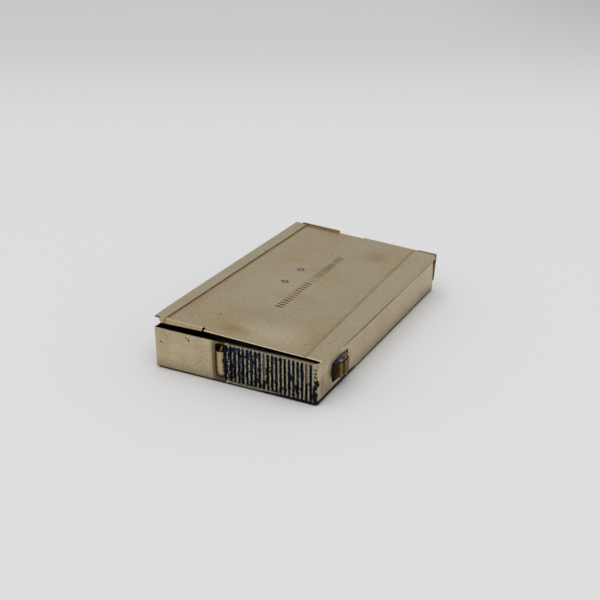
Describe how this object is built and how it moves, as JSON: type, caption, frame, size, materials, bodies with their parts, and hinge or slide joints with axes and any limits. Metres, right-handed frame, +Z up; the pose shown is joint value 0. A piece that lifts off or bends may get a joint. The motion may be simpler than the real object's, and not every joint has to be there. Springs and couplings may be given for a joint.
{
  "type": "pocket striker lighter",
  "caption": "Flat pocket striker lighter: a sheet-metal case with a ribbed striker, a window, a side thumbwheel, an inner tape spool and a long side-hinged lid, slightly ajar.",
  "frame": {"origin": "on the underside of the base, under the middle of the case", "axes": "+X to the thumbwheel side, +Y to the back, away from the striker, along the case's length, +Z up out of the lid"},
  "size_m": [0.0394, 0.0658, 0.0122],
  "materials": {
    "nickel_silver": "worn warm nickel silver, satin, with light tarnish",
    "brass": "worn turned brass",
    "steel": "turned grey steel",
    "spring_steel": "dark tempered spring steel"
  },
  "bodies": {
    "case": {"base_plate": "nickel_silver", "case_wall": "nickel_silver", "striker_plate": "nickel_silver", "window_tongue": "nickel_silver", "guide_pin": "brass", "tape_guide": "nickel_silver", "guide_rivet_left": "brass", "guide_rivet_right": "brass", "wheel_bridge": "nickel_silver", "bridge_screw_front": "steel", "bridge_screw_rear": "steel", "wheel_axle": "steel", "wheel_collar": "brass", "spring_post": "brass", "pressure_spring": "spring_steel", "spool_post": "brass", "spool_clip": "spring_steel", "case_hinge_leaf": "nickel_silver", "hinge_pin": "steel"},
    "thumbwheel": {"thumbwheel": "brass", "feed_disc": "steel"},
    "spool": {"spool_flange": "nickel_silver", "spool_hub": "nickel_silver"},
    "lid": {"cover_panel": "nickel_silver", "left_rail": "nickel_silver", "right_rail": "nickel_silver", "lid_hinge_leaf": "nickel_silver", "back_flange": "nickel_silver"}
  },
  "joints": [
    {"name": "wheel_spin", "type": "hinge", "parent": "case", "child": "thumbwheel", "pos_m": [0.0158, -0.0218, 0], "axis": [0, 0, 1], "continuous": true},
    {"name": "spool_spin", "type": "hinge", "parent": "case", "child": "spool", "pos_m": [-0.003, 0.007, 0], "axis": [0, 0, 1], "continuous": true},
    {"name": "lid_hinge", "type": "hinge", "parent": "case", "child": "lid", "pos_m": [0.01905, 0, 0.00906], "axis": [0, 1, 0], "range_deg": [-3.4, 86.6]}
  ]
}
